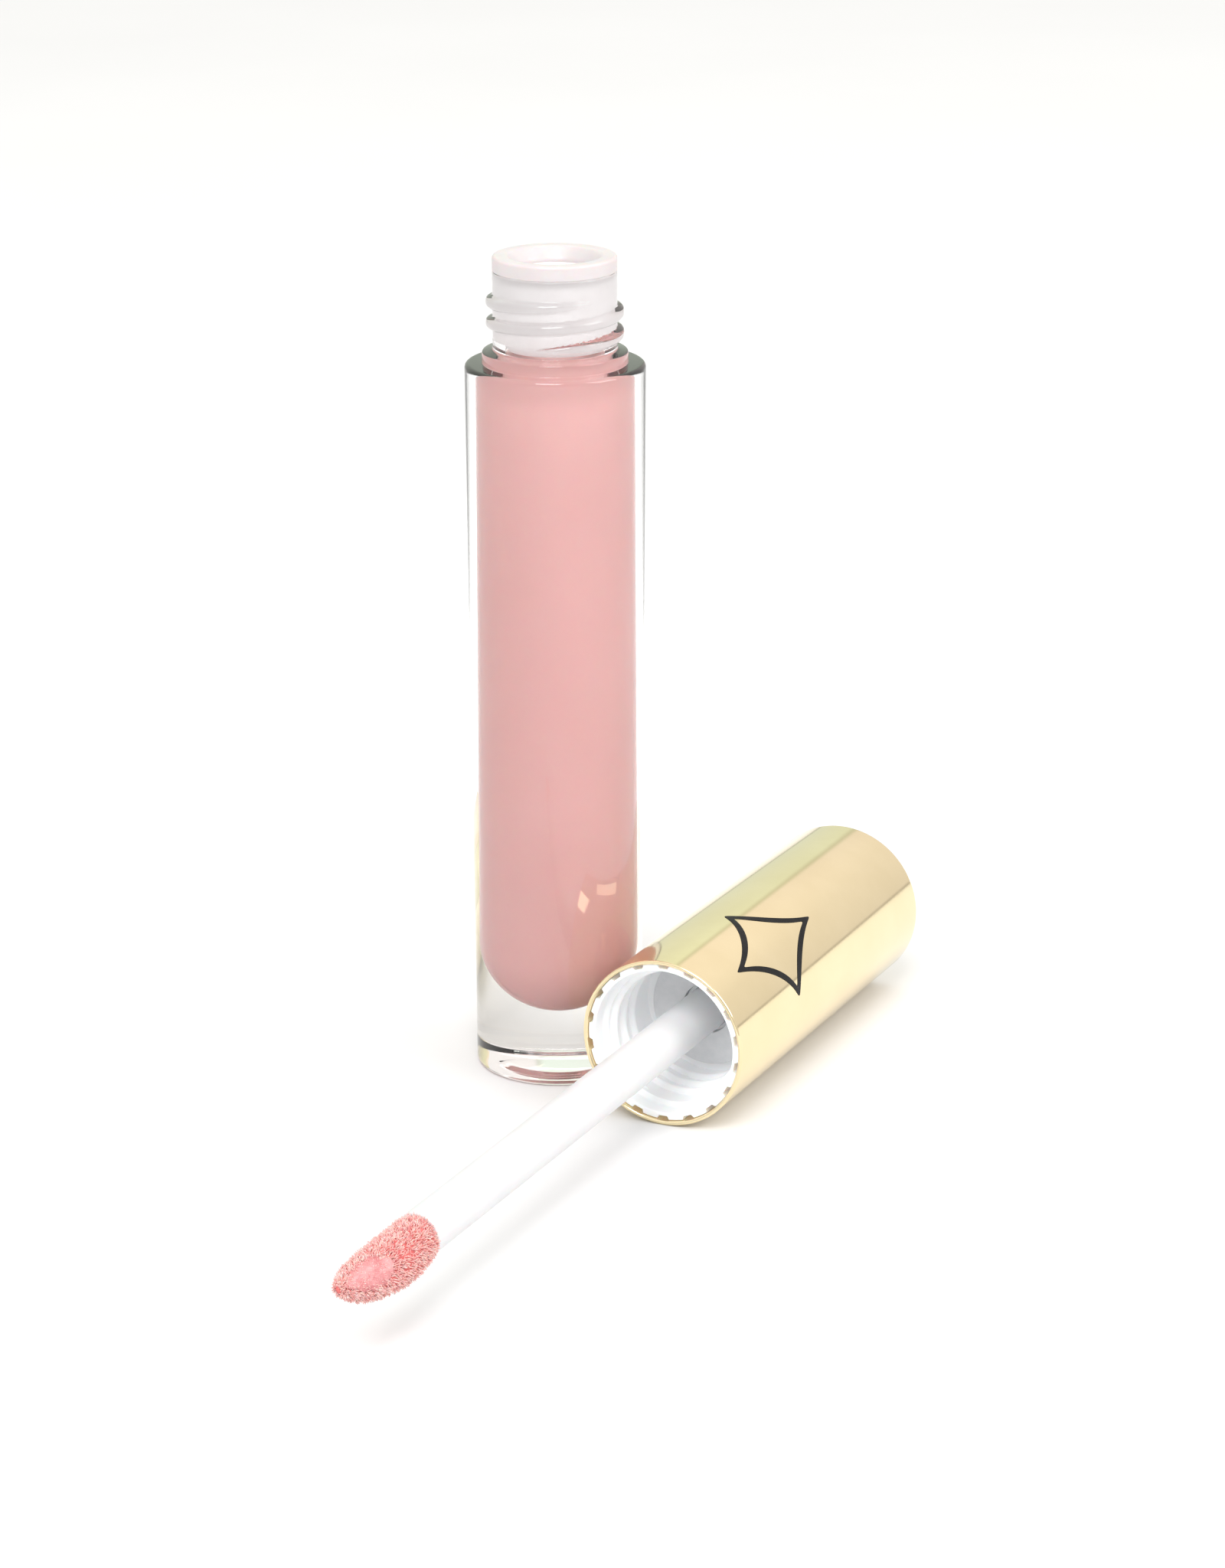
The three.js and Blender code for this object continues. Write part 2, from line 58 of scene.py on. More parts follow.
SHOULDER_Z, SHOULDER_R, SHOULDER_EDGE = 79.0, 9.65, 0.6
BASE_R, BASE_EDGE = 9.1, 0.8
RECESS_R, RECESS_DEPTH, RECESS_SLOPE = 4.1, 0.5, 0.55
BORE_R, BORE_FLOOR_Z, BORE_DOME, BORE_EDGE = 5.3, 7.1, 6.2, 0.12
COLLAR_R, COLLAR_TOP, COLLAR_EDGE = 7.77, 80.25, 0.2
NECK_R, NECK_FOOT, NECK_TOP_Z, NECK_EDGE = 6.62, 80.6, 88.85, 0.34
THREAD_LEAD, THREAD_START_Z, THREAD_TURNS = 2.25, 81.55, 2.15
THREAD_HEIGHT, THREAD_WIDTH = 0.73, 1.5
THREAD_START_ANGLE = math.radians(-107.5)
THREAD_FADE = 1.1  # angle over which a ridge rises at each end of its run

TIGHT = 0.03  # what wets or is pressed into the bore lies this far inside the plastic
GLOSS_TOP_Z = 80.4
MENISCUS = ((0, -0.1), (0.25, -0.02), (0.9, -0.25), (2.2, -0.4))  # in from the wall, and up
MENISCUS_MIDDLE = -0.42
WIPER_TOP_Z, WIPER_BOTTOM_Z, WIPER_SEAT = 90.5, 80.6, 0.05
WIPER_MOUTH_R, WIPER_BORE_R, WIPER_LIP_R = 4.95, 4.0, 3.3
WIPER_FUNNEL, WIPER_LIP_RISE, WIPER_LIP_HEIGHT = 1.3, 2.2, 0.5
WIPER_LEAD, WIPER_LEAD_HEIGHT = 0.5, 0.8

CAP_R, CAP_LENGTH, SHELL_WALL, SHELL_EDGE, SHELL_CORNER = 9.3, 50.5, 0.45, 0.9, 0.6
LINER_R, LINER_TOP, LINER_INSET, LINER_WALL = 8.79, 49.7, 0.35, 0.95
LINER_TAPER, LINER_TAPER_LENGTH, LINER_LIP = 0.6, 1, 0.25
MOUTH_BORE_R, MOUTH_BORE_DEPTH, MOUTH_CHAMFER = 8.05, 2.6, 0.4
THREAD_BORE_R, CEILING, CEILING_TOP = 7.5, 12.6, 14.0
CAP_RIDGE = {"height": 0.62, "width": 1.0, "start_z": 3.2125, "turns": 3.1}
SEAT_GAP = 0.15  # between the cap's mouth and the shoulder when the tube is closed
NOTCH_COUNT, NOTCH_HALF, NOTCH_DEPTH, NOTCH_FLARE = 18, 0.0591, 0.42, 0.12
SOCKET_R, SOCKET_TOP = 4.1, 19.5
SEAL_HOLE_R, SEAL_R, SEAL_BOTTOM, SEAL_TOP = 2.75, 6.4, 11.6, 12.5

STEM_R, STEM_ROOT, STEM_END = 2.41, 18.2, -56.0
FACE_ANGLE = math.radians(52)  # which way the tip's slanted face looks
SAG_ANGLE = FACE_ANGLE + math.pi / 2
FACE_FLATNESS = 0.25
TIP_ROOT, TIP_REACH, TIP_NOSE = -56.05, 13.85, 0.3
FLOCK, FLOCK_BED = 0.36, 0.08
FIBRE_COUNT, FIBRE_ROOT, FIBRE_REACH = 6200, -56.1, 13.8
FIBRE_FOOT, FIBRE_AIM = 0.02, 0.24  # outside the core, where a fibre starts and where it aims
FIBRE_LENGTH, FIBRE_RADIUS, FIBRE_LEAN = (0.34, 0.66), (0.05, 0.078), 0.45
FIBRE_TAPER = ((0.0, 1.0), (0.7, 0.8), (1.0, 0.35))  # height along a fibre, and its thickness
NOSE_FROM, NOSE_LENGTH, NOSE_LEAN = 68.6, 1.3, 1.1  # where fibres start to comb forwards
SMEAR_FROM, SMEAR_LENGTH, SMEAR_HALF, SMEAR_RISE = -63.3, 6.1, 0.86, 0.26
SMEAR_TOP, SMEAR_UNDER = FLOCK - 0.12, FLOCK - 0.2

MARK_ANGLE, MARK_CENTRE = math.radians(41), 15.8
MARK_HALF_LENGTH, MARK_HALF_WIDTH = 9.6, 6.4
MARK_INNER, MARK_ROUNDNESS = 0.82, 0.15
MARK_UNDER, MARK_OVER = 0.01, 0.04  # the ink's two faces, above the shell

# ---- The studio and the camera, in metres and degrees ----------------------------------------
FLOOR_SIZE, FLOOR_DROP = 3.0, 0.00002
SKY = ((0.0, 1.0), (0.494, 0.95), (0.499, 0.55), (0.506, 0.6), (0.515, 0.88), (0.7, 0.98),
       (0.78, 1.1), (1.0, 1.2))  # brightness from straight down to straight up
PANELS = ((0.0, (1, 1, 1)), (0.3, (0.97, 1, 0.9)), (0.545, (0.9, 0.98, 0.84)),
          (0.56, (0.72, 0.74, 0.62)), (0.575, (1, 0.94, 0.9)), (1.0, (1, 0.97, 0.96)))
PANEL_REACH = 1.6  # bearing, either side of +Y, that the tinted panels span
BEHIND = (-0.95, -0.6, 0.78, 1.0)  # dimmer behind the viewer: from, to along Y, brightness
# Name, place, size and power of each area light
LIGHTS = (("key", (-0.15, -0.8, 0.92), 0.6, 9), ("side", (0.95, -0.35, 0.75), 0.7, 6))
LIT_POINT = (0, 0, 0.03)
CAMERA_FROM_BOTTLE = (0, -0.4696, 0.185)
CAMERA_YAW, CAMERA_PITCH, CAMERA_ROLL = -0.730, 18.057, -0.120
CAMERA_LENS, CAMERA_SENSOR = 103.82, 36

# ---- Where the two sides stand ---------------------------------------------------------------
low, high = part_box("bottle")
BOTTLE_AXIS = np.array([(low.x + high.x) / 2, (low.y + high.y) / 2, 0.0])
hinge = next(j for j in frame["joints"] if j["name"] == "cap_turn")
CAP_MOUTH = np.array(hinge["pos_m"])
CAP_AXIS = -np.array(hinge["axis"]) / np.linalg.norm(hinge["axis"])
CAP_UP = np.array([0.0, 0.0, 1.0])
CAP_SIDE = np.array([CAP_AXIS[1], -CAP_AXIS[0], 0.0])


def on_bottle(p):
    """Points in millimetres about the bottle's axis, placed in the part's frame."""
    return BOTTLE_AXIS + np.asarray(p) * MM


def on_cap(p):
    """Points in millimetres in the cap's own frame (mouth at 0, wand to minus), placed."""
    p = np.asarray(p) * MM
    return CAP_MOUTH + p[..., :1] * CAP_UP + p[..., 1:2] * CAP_SIDE + p[..., 2:3] * CAP_AXIS


# ---- Mesh helpers ----------------------------------------------------------------------------
def piece(name, points, faces, body, replaces, mat, sharp=40):
    """A smooth-shaded mesh that rides on a body and stands for its CAD nodes."""
    mesh = bpy.data.meshes.new(name)
    mesh.from_pydata(np.asarray(points).tolist(), [], faces)
    mesh.polygons.foreach_set("use_smooth", np.ones(len(mesh.polygons), bool))
    if sharp:
        mesh.set_sharp_from_angle(angle=math.radians(sharp))
    mesh.update()
    obj = bpy.data.objects.new(name, mesh)
    bpy.context.scene.collection.objects.link(obj)
    mesh.materials.append(mat)
    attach(obj, body)
    if replaces:
        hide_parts(*replaces)
    return obj


def band_faces(rings, count, closed=False):
    """Quads between neighbouring rings of count points each."""
    faces = []
    for k in range(rings if closed else rings - 1):
        a, b = k * count, ((k + 1) % rings) * count
        for i in range(count):
            j = (i + 1) % count
            faces.append((a + i, a + j, b + j, b + i))
    return faces


def fans(faces, rings, count, first, last):
    """Close both ends of a stack of rings with fans about the points first and last."""
    end = (rings - 1) * count
    for i in range(count):
        j = (i + 1) % count
        faces.append((first, j, i))
        faces.append((last, end + i, end + j))


def lathe(profile, segments, reshape=None):
    """Points and faces of a profile of (radius, height) turned about Z. A profile that doesn't
    end where it began is closed with a fan at each end."""
    angles = np.arange(segments) * TAU / segments
    radii = np.array([p[0] for p in profile])[:, None] * np.ones(segments)
    heights = np.array([p[1] for p in profile])[:, None] * np.ones(segments)
    if reshape:
        radii = reshape(radii, heights, angles[None, :] * np.ones_like(radii))
    x, y = radii * np.cos(angles), radii * np.sin(angles)
    points = np.stack([x, y, heights], -1).reshape(-1, 3)
    closed = profile[0] == profile[-1]
    rings = len(profile) - (1 if closed else 0)
    points = points[: rings * segments]
    faces = band_faces(rings, segments, closed)
    if closed:
        return points, faces
    hubs = np.array([[0, 0, profile[0][1]], [0, 0, profile[-1][1]]])
    fans(faces, rings, segments, len(points), len(points) + 1)
    return np.vstack([points, hubs]), faces


def joined(profile):
    """A profile whose last point is exactly its first, so that lathe closes it as a ring."""
    return profile[:-1] + [profile[0]]


def filleted(corners, steps=7):
    """A profile whose corners (radius, height, fillet) are rounded."""
    out = []
    last = len(corners) - 1
    for k, corner in enumerate(corners):
        p = np.array(corner[:2], float)
        size = corner[2] if len(corner) > 2 else 0
        if size == 0 or k in (0, last):
            out.append(tuple(p))
            continue
        before = np.array(corners[k - 1][:2], float) - p
        after = np.array(corners[k + 1][:2], float) - p
        a = p + before / np.linalg.norm(before) * min(size, np.linalg.norm(before) / 2)
        b = p + after / np.linalg.norm(after) * min(size, np.linalg.norm(after) / 2)
        for t in np.linspace(0, 1, steps):
            out.append(tuple((1 - t) ** 2 * a + 2 * t * (1 - t) * p + t * t * b))
    return [(float(r), float(z)) for r, z in out]


def wall(r, from_z, to_z, step=0.09):
    """Points up or down a straight wall, close enough together to carry a ridge."""
    count = max(2, int(abs(to_z - from_z) / step))
    return [(r, float(z)) for z in np.linspace(from_z, to_z, count)]


def ridge(height, width, start_z, start_angle, turns, angle, z):
    """How far a helical ridge stands at each place: a rounded hump that fades at both ends."""
    best = np.zeros_like(z)
    first = np.floor(((z - width / 2 - start_z) / THREAD_LEAD * TAU - angle + start_angle) / TAU)
    for lap in range(-1, 3):
        along = angle - start_angle + (first + lap) * TAU
        inside = (along > 0) & (along < turns * TAU)
        fade = np.sqrt(np.clip(np.minimum(along, turns * TAU - along) / THREAD_FADE, 1e-4, 1))
        off = np.abs(z - start_z - along / TAU * THREAD_LEAD) / (0.5 * width * fade)
        hump = height * fade * (1 - np.clip(off, 0, 1) ** 2.6) ** 0.75
        best = np.where(inside & (off < 1), np.maximum(best, hump), best)
    return best


# ---- Materials -------------------------------------------------------------------------------
def node(tree, kind, **values):
    made = tree.nodes.new(kind)
    for key, value in values.items():
        if hasattr(made, key):
            setattr(made, key, value)
        else:
            made.inputs[key.replace("_", " ")].default_value = value
    return made


def noise(tree, coords, scale, detail=4.0, rough=0.55):
    made = node(tree, "ShaderNodeTexNoise", Scale=scale, Detail=detail, Roughness=rough)
    tree.links.new(coords, made.inputs["Vector"])
    return made.outputs["Fac"]


def ramp(tree, fac, low, high, start=0.35, end=0.65):
    made = node(tree, "ShaderNodeValToRGB")
    made.color_ramp.elements[0].position = start
    made.color_ramp.elements[1].position = end
    made.color_ramp.elements[0].color = (*low, 1)
    made.color_ramp.elements[1].color = (*high, 1)
    tree.links.new(fac, made.inputs["Fac"])
    return made.outputs["Color"]


def map_range(tree, value, from_min, from_max, to_min, to_max):
    made = node(tree, "ShaderNodeMapRange")
    made.inputs["From Min"].default_value = from_min
    made.inputs["From Max"].default_value = from_max
    made.inputs["To Min"].default_value = to_min
    made.inputs["To Max"].default_value = to_max
    tree.links.new(value, made.inputs["Value"])
    return made.outputs["Result"]


def surface(name, colours, roughness, grain, bump, **sockets):
    """A Principled surface: colour, roughness and relief each vary over the surface. colours is
    (one, other), roughness (low, high), grain the noise scales (colour, roughness, relief) per
    metre, and bump (strength, depth in metres)."""
    mat = bpy.data.materials.new(name)
    mat.use_nodes = True
    tree = mat.node_tree
    shader = tree.nodes["Principled BSDF"]
    coords = node(tree, "ShaderNodeTexCoord").outputs["Object"]
    colour = ramp(tree, noise(tree, coords, grain[0]), *colours)
    tree.links.new(colour, shader.inputs["Base Color"])
    rough = map_range(tree, noise(tree, coords, grain[1]), 0.3, 0.7, *roughness)
    tree.links.new(rough, shader.inputs["Roughness"])
    if bump:
        relief = node(tree, "ShaderNodeBump", Strength=bump[0], Distance=bump[1])
        tree.links.new(noise(tree, coords, grain[2], 3.0), relief.inputs["Height"])
        tree.links.new(relief.outputs["Normal"], shader.inputs["Normal"])
    for key, value in sockets.items():
        shader.inputs[key.replace("_", " ")].default_value = value
    return mat


def make_materials():
    """Painted light: the faint emission of the sleeve and inner cap is a glow that brightens
    them, standing for light that comes through the white plastic around them."""
    m = {}
    m["clear"] = surface(
        "clear_plastic", ((0.997, 0.998, 0.999), (1.0, 1.0, 1.0)), (0.0, 0.015),
        (90, 140, 120), (0.02, 0.00002), Transmission_Weight=1.0, IOR=1.57)
    m["milky"] = surface(
        "milky_plastic", ((0.67, 0.63, 0.635), (0.7, 0.66, 0.665)), (0.28, 0.4),
        (300, 500, 1500), (0.08, 0.00003), Transmission_Weight=0.2, IOR=1.5,
        Subsurface_Weight=0.5, Subsurface_Scale=0.001)
    # painted light: a faint warm glow brightens the sleeve inside the neck
    m["sleeve"] = surface(
        "milky_sleeve", ((0.93, 0.9, 0.905), (0.96, 0.935, 0.94)), (0.35, 0.5),
        (300, 500, 900), (0.1, 0.00004), Specular_IOR_Level=0.1,
        Emission_Color=(1.0, 0.94, 0.945, 1.0), Emission_Strength=0.05)
    m["gloss"] = surface(
        "pink_gloss", ((0.85, 0.475, 0.46), (0.87, 0.495, 0.48)), (0.12, 0.22),
        (60, 200, 250), (0.03, 0.00003), Specular_IOR_Level=0.12,
        Subsurface_Weight=0.25, Subsurface_Scale=0.0015)
    m["gold"] = surface(
        "pale_gold", ((0.86, 0.73, 0.46), (0.89, 0.76, 0.49)), (0.06, 0.1),
        (150, 400, 2500), (0.015, 0.00001), Metallic=1.0)
    # painted light: a faint glow brightens the inner cap inside the gold shell
    m["white"] = surface(
        "white_inner_cap", ((0.82, 0.825, 0.83), (0.845, 0.85, 0.855)), (0.32, 0.42),
        (250, 600, 1800), (0.06, 0.00003), Subsurface_Weight=0.3, Subsurface_Scale=0.0015,
        Emission_Color=(0.97, 0.985, 1.0, 1.0), Emission_Strength=0.14)
    m["seal"] = surface(
        "white_seal_foam", ((0.74, 0.75, 0.76), (0.8, 0.8, 0.81)), (0.6, 0.8),
        (900, 900, 2600), (0.3, 0.00006))
    m["wand"] = surface(
        "white_wand", ((0.63, 0.635, 0.645), (0.655, 0.66, 0.67)), (0.4, 0.5),
        (200, 500, 1600), (0.05, 0.00002), Subsurface_Weight=0.3, Subsurface_Scale=0.001)
    m["core"] = surface(
        "tip_core_plastic", ((0.76, 0.48, 0.44), (0.8, 0.52, 0.48)), (0.5, 0.6),
        (400, 600, 1600), (0.1, 0.00004))
    # painted shade: the bed is a darker red than the fibres, to darken the gaps between them
    m["felt"] = surface(
        "flock_bed", ((0.5, 0.09, 0.085), (0.64, 0.16, 0.15)), (0.85, 0.95),
        (1400, 900, 3500), (0.8, 0.0001), Sheen_Weight=0.3, Sheen_Roughness=0.5)
    m["fibre"] = surface(
        "flock_fibres", ((0.78, 0.3, 0.29), (0.95, 0.64, 0.6)), (0.75, 0.9),
        (1800, 900, 3500), None, Sheen_Weight=0.4, Sheen_Roughness=0.4,
        Subsurface_Weight=0.2, Subsurface_Scale=0.0004)
    m["smear"] = surface(
        "smeared_gloss", ((0.5, 0.17, 0.175), (0.66, 0.31, 0.31)), (0.1, 0.3),
        (900, 900, 1800), (0.9, 0.0003), Specular_IOR_Level=0.4)
    m["ink"] = surface(
        "black_print", ((0.003, 0.003, 0.0035), (0.006, 0.006, 0.0065)), (0.35, 0.45),
        (700, 900, 2500), (0.05, 0.00001), Specular_IOR_Level=0.15)
    return m


# ---- Bottle side -----------------------------------------------------------------------------
def bottle_profile():
    outside = filleted([
        (0, RECESS_DEPTH),
        (RECESS_R - RECESS_SLOPE, RECESS_DEPTH, 0.4),
        (RECESS_R, 0, 0.25),
        (BASE_R, 0, BASE_EDGE),
        (SHOULDER_R, SHOULDER_Z, SHOULDER_EDGE),
        (COLLAR_R, SHOULDER_Z, 0.12),
        (COLLAR_R, COLLAR_TOP, COLLAR_EDGE),
        (NECK_R + 0.15, NECK_FOOT - 0.12, 0.3),
        (NECK_R, NECK_FOOT),
    ])
    rim = filleted([
        (NECK_R, NECK_TOP_Z - 0.36),
        (NECK_R, NECK_TOP_Z, NECK_EDGE),
        (BORE_R, NECK_TOP_Z, BORE_EDGE),
        (BORE_R, NECK_TOP_Z - 0.4),
    ])
    centre = BORE_FLOOR_Z + BORE_DOME
    dome = [(BORE_R * math.cos(t), centre - BORE_DOME * math.sin(t))
            for t in np.linspace(0, math.pi / 2 - 0.03, 28)]
    return outside + wall(NECK_R, NECK_FOOT + 0.05, NECK_TOP_Z - 0.4) + rim + dome


def thread_reshape(r, z, angle):
    raised = ridge(THREAD_HEIGHT, THREAD_WIDTH, THREAD_START_Z, THREAD_START_ANGLE,
                   THREAD_TURNS, angle, z)
    on_neck = (np.abs(r - NECK_R) < 1e-6) & (z > NECK_FOOT) & (z < NECK_TOP_Z - 0.37)
    return np.where(on_neck, r + raised, r)


def gloss_profile():
    radius = BORE_R + TIGHT
    centre = BORE_FLOOR_Z + BORE_DOME
    dome = [(radius * math.sin(t), centre - (BORE_DOME + TIGHT) * math.cos(t))
            for t in np.linspace(0.02, math.pi / 2, 40)]
    top = [(radius - inset, GLOSS_TOP_Z + rise) for inset, rise in MENISCUS]
    return dome + top + [(NEAR_AXIS, GLOSS_TOP_Z + MENISCUS_MIDDLE)]


def wiper_profile():
    sleeve = BORE_R + TIGHT
    seat = NECK_TOP_Z + WIPER_SEAT
    return joined(filleted([
        (WIPER_LIP_R, WIPER_BOTTOM_Z + 0.3),
        (WIPER_LIP_R, WIPER_BOTTOM_Z, 0.1),
        (sleeve - WIPER_LEAD, WIPER_BOTTOM_Z, 0.1),
        (sleeve, WIPER_BOTTOM_Z + WIPER_LEAD_HEIGHT, 0.3),
        (sleeve, seat),
        (NECK_R, seat, 0.12),
        (NECK_R, WIPER_TOP_Z, 0.35),
        (WIPER_MOUTH_R, WIPER_TOP_Z, 0.25),
        (WIPER_BORE_R, WIPER_TOP_Z - WIPER_FUNNEL, 0.3),
        (WIPER_BORE_R, WIPER_BOTTOM_Z + WIPER_LIP_RISE, 0.4),
        (WIPER_LIP_R, WIPER_BOTTOM_Z + WIPER_LIP_HEIGHT, 0.1),
        (WIPER_LIP_R, WIPER_BOTTOM_Z + 0.3),
    ]))


def build_bottle(mats):
    points, faces = lathe(bottle_profile(), 288, thread_reshape)
    piece("bottle_body", on_bottle(points), faces, "bottle", ["bottle"],
          mats["clear"], sharp=60)
    points, faces = lathe(gloss_profile(), 192)
    piece("gloss_body", on_bottle(points), faces, "bottle", ["gloss_fill"],
          mats["gloss"])
    points, faces = lathe(wiper_profile(), 192)
    wiper = piece("wiper_body", on_bottle(points), faces, "bottle", ["wiper"],
                  mats["milky"])
    wiper.data.materials.append(mats["sleeve"])
    for polygon in wiper.data.polygons:
        in_neck = polygon.center.z < NECK_TOP_Z * MM
        polygon.material_index = 1 if in_neck else 0


# ---- Cap side --------------------------------------------------------------------------------
def cap_ridge_angle(z):
    """The cap's ridge runs midway between the turns of the bottle's thread when it is seated."""
    rise = z + SHOULDER_Z + SEAT_GAP - THREAD_START_Z - THREAD_LEAD / 2
    return THREAD_START_ANGLE + TAU * rise / THREAD_LEAD


def inner_reshape(r, z, angle):
    """Raise the thread inside the skirt, and cut the notches into its outside."""
    start = CAP_RIDGE["start_z"]
    raised = ridge(CAP_RIDGE["height"], CAP_RIDGE["width"], start, cap_ridge_angle(start),
                   CAP_RIDGE["turns"], angle, z)
    on_bore = (np.abs(r - THREAD_BORE_R) < 1e-6) & (z > MOUTH_BORE_DEPTH) & (z < CEILING)
    r = np.where(on_bore, r - raised, r)
    pitch = TAU / NOTCH_COUNT
    off = np.abs(angle - pitch * np.round(angle / pitch))
    notch = np.clip((NOTCH_HALF * (1 + NOTCH_FLARE) - off) / (NOTCH_HALF * NOTCH_FLARE), 0, 1)
    deep = LINER_R - NOTCH_DEPTH
    in_reach = (r > deep) & (z < LINER_TOP - LINER_TAPER_LENGTH)
    return np.where(in_reach, r - (r - deep) * notch, r)


def build_shell(mats):
    inner = CAP_R - SHELL_WALL
    lip = [(CAP_R - SHELL_WALL / 2 + SHELL_WALL / 2 * math.cos(t),
            SHELL_WALL / 2 + SHELL_WALL / 2 * math.sin(t))
           for t in np.linspace(math.pi, TAU, 14)]
    end = [(CAP_R - SHELL_EDGE + SHELL_EDGE * math.cos(t),
            CAP_LENGTH - SHELL_EDGE + SHELL_EDGE * math.sin(t))
           for t in np.linspace(0, math.pi / 2, 12)]
    ceiling = CAP_LENGTH - SHELL_WALL
    inside = [(NEAR_AXIS, ceiling), (inner - SHELL_CORNER, ceiling),
              (inner, ceiling - SHELL_CORNER)]
    points, faces = lathe(inside + lip + end + [(NEAR_AXIS, CAP_LENGTH)], 288)
    piece("cap_shell_body", on_cap(points), faces, "cap", ["cap_shell"],
          mats["gold"], sharp=50)


def inner_cap_profile():
    hole = STEM_R + STEM_GAP
    sleeve = LINER_R - LINER_WALL
    floor = [(hole, CEILING), (THREAD_BORE_R - 0.4, CEILING),
             (THREAD_BORE_R - 0.1, CEILING - 0.005)]
    bore = wall(THREAD_BORE_R, CEILING - 0.02, MOUTH_BORE_DEPTH + 0.02, 0.11)
    skirt = filleted([
        (THREAD_BORE_R, MOUTH_BORE_DEPTH),
        (THREAD_BORE_R + 0.02, MOUTH_BORE_DEPTH - 0.02),
        (MOUTH_BORE_R, MOUTH_BORE_DEPTH - MOUTH_CHAMFER, 0.2),
        (MOUTH_BORE_R, LINER_INSET, 0.2),
        (LINER_R - LINER_LIP, LINER_INSET),
        (LINER_R, LINER_INSET, 0.1),
        (LINER_R, LINER_TOP - LINER_TAPER_LENGTH),
        (LINER_R - LINER_TAPER, LINER_TOP),
        (sleeve, LINER_TOP),
        (sleeve, CEILING_TOP),
        (SOCKET_R, CEILING_TOP),
        (SOCKET_R, SOCKET_TOP),
        (hole, SOCKET_TOP),
        (hole, CEILING),
    ], 5)
    return joined(floor + bore + skirt)


def seal_profile():
    middle = 12.0
    return joined(filleted([
        (SEAL_HOLE_R, middle),
        (SEAL_HOLE_R, SEAL_BOTTOM, 0.1),
        (SEAL_R, SEAL_BOTTOM, 0.2),
        (SEAL_R, SEAL_TOP, 0.05),
        (SEAL_HOLE_R, SEAL_TOP, 0.05),
        (SEAL_HOLE_R, middle),
    ], 5))


def build_inner_cap(mats):
    points, faces = lathe(inner_cap_profile(), NOTCH_COUNT * 18, inner_reshape)
    piece("inner_cap_body", on_cap(points), faces, "cap", ["inner_cap"],
          mats["white"], sharp=50)
    points, faces = lathe(seal_profile(), 144)
    piece("seal_body", on_cap(points), faces, "seal", ["seal_ring"], mats["seal"])


def build_wand(mats):
    profile = filleted([
        (NEAR_AXIS, STEM_END),
        (STEM_R, STEM_END, 0.25),
        (STEM_R, STEM_ROOT, 0.2),
        (NEAR_AXIS, STEM_ROOT),
    ])
    points, faces = lathe(profile, 160)
    piece("wand_body", on_cap(points), faces, "cap", ["wand_stem"], mats["wand"])


# The doe-foot tip, by place along the wand: half width across the face, half depth to the
# face, half depth to the back, and how far the section sags sideways.
TIP = np.array([
    [-55.8, 1.96, 1.96, 1.96, 0.0],
    [-56.4, 2.03, 2.03, 2.02, 0.07],
    [-57.6, 2.15, 2.15, 2.10, 0.2],
    [-59.8, 2.3, 2.0, 2.15, 0.38],
    [-62.6, 2.25, 1.35, 2.10, 0.36],
    [-65.4, 1.93, 0.55, 2.00, 0.15],
    [-67.8, 1.36, -0.15, 1.60, -0.12],
    [-69.3, 0.72, -0.50, 1.15, -0.38],
    [-69.94, 0.32, -0.68, 0.98, -0.5],
])


def station(at):
    """The tip's section at places along the wand, smoothly between the stations."""
    at = np.asarray(at, float)
    x = -TIP[:, 0]
    columns = []
    for c in range(1, 5):
        slope = np.gradient(TIP[:, c], x)
        k = np.clip(np.searchsorted(x, -at) - 1, 0, len(x) - 2)
        h = x[k + 1] - x[k]
        t = (-at - x[k]) / h
        columns.append(
            (2 * t**3 - 3 * t**2 + 1) * TIP[k, c] + (t**3 - 2 * t**2 + t) * h * slope[k]
            + (3 * t**2 - 2 * t**3) * TIP[k + 1, c] + (t**3 - t**2) * h * slope[k + 1])
    return columns


def tip_point(at, t, offset):
    """Points on the tip in the cap's frame: flatter on the face than on the back."""
    width, face, back, sag = station(at)
    c, s = np.cos(t), np.sin(t)
    power = 1 - FACE_FLATNESS * np.clip(s * 3, 0, 1)
    middle = (face - back) / 2
    depth = (face + back) / 2 + offset
    across = (width + offset) * c + sag
    toward = middle + depth * np.sign(s) * np.abs(s) ** power
    x = toward * math.cos(FACE_ANGLE) + across * math.cos(SAG_ANGLE)
    y = toward * math.sin(FACE_ANGLE) + across * math.sin(SAG_ANGLE)
    return np.stack([x, y, at * np.ones_like(x)], -1)


def tip_skin(offset, facets=96, rows=70):
    """A closed skin around the tip, this far outside its core."""
    places = TIP_ROOT - np.sin(np.linspace(0, math.pi / 2, rows)) * TIP_REACH
    t = -np.arange(facets) * TAU / facets
    points = tip_point(places[:, None], t[None, :], offset).reshape(-1, 3)
    root = points[:facets].mean(0)
    nose = points[-facets:].mean(0) - np.array([0, 0, TIP_NOSE * (1 + offset)])
    faces = band_faces(rows, facets)
    fans(faces, rows, facets, len(points), len(points) + 1)
    return np.vstack([points, root, nose]), faces


def fibre_axes(count, rng):
    """Where each flock fibre stands, which way it leans, its length and its thickness."""
    places = FIBRE_ROOT - rng.random(count) * FIBRE_REACH
    t = rng.random(count) * TAU
    base = tip_point(places, t, FIBRE_FOOT)
    out = tip_point(places, t, FIBRE_AIM) - base
    out /= np.linalg.norm(out, axis=1)[:, None]
    nose = np.clip((-places - NOSE_FROM) / NOSE_LENGTH, 0, 1)[:, None]
    forward = np.array([0, 0, -1.0]) * nose * NOSE_LEAN
    out = out + rng.normal(0, FIBRE_LEAN, (count, 3)) + forward
    out /= np.linalg.norm(out, axis=1)[:, None]
    length = rng.uniform(*FIBRE_LENGTH, count)[:, None] * (1 - 0.2 * nose)
    radius = rng.uniform(*FIBRE_RADIUS, count)[:, None]
    return base, out, length, radius


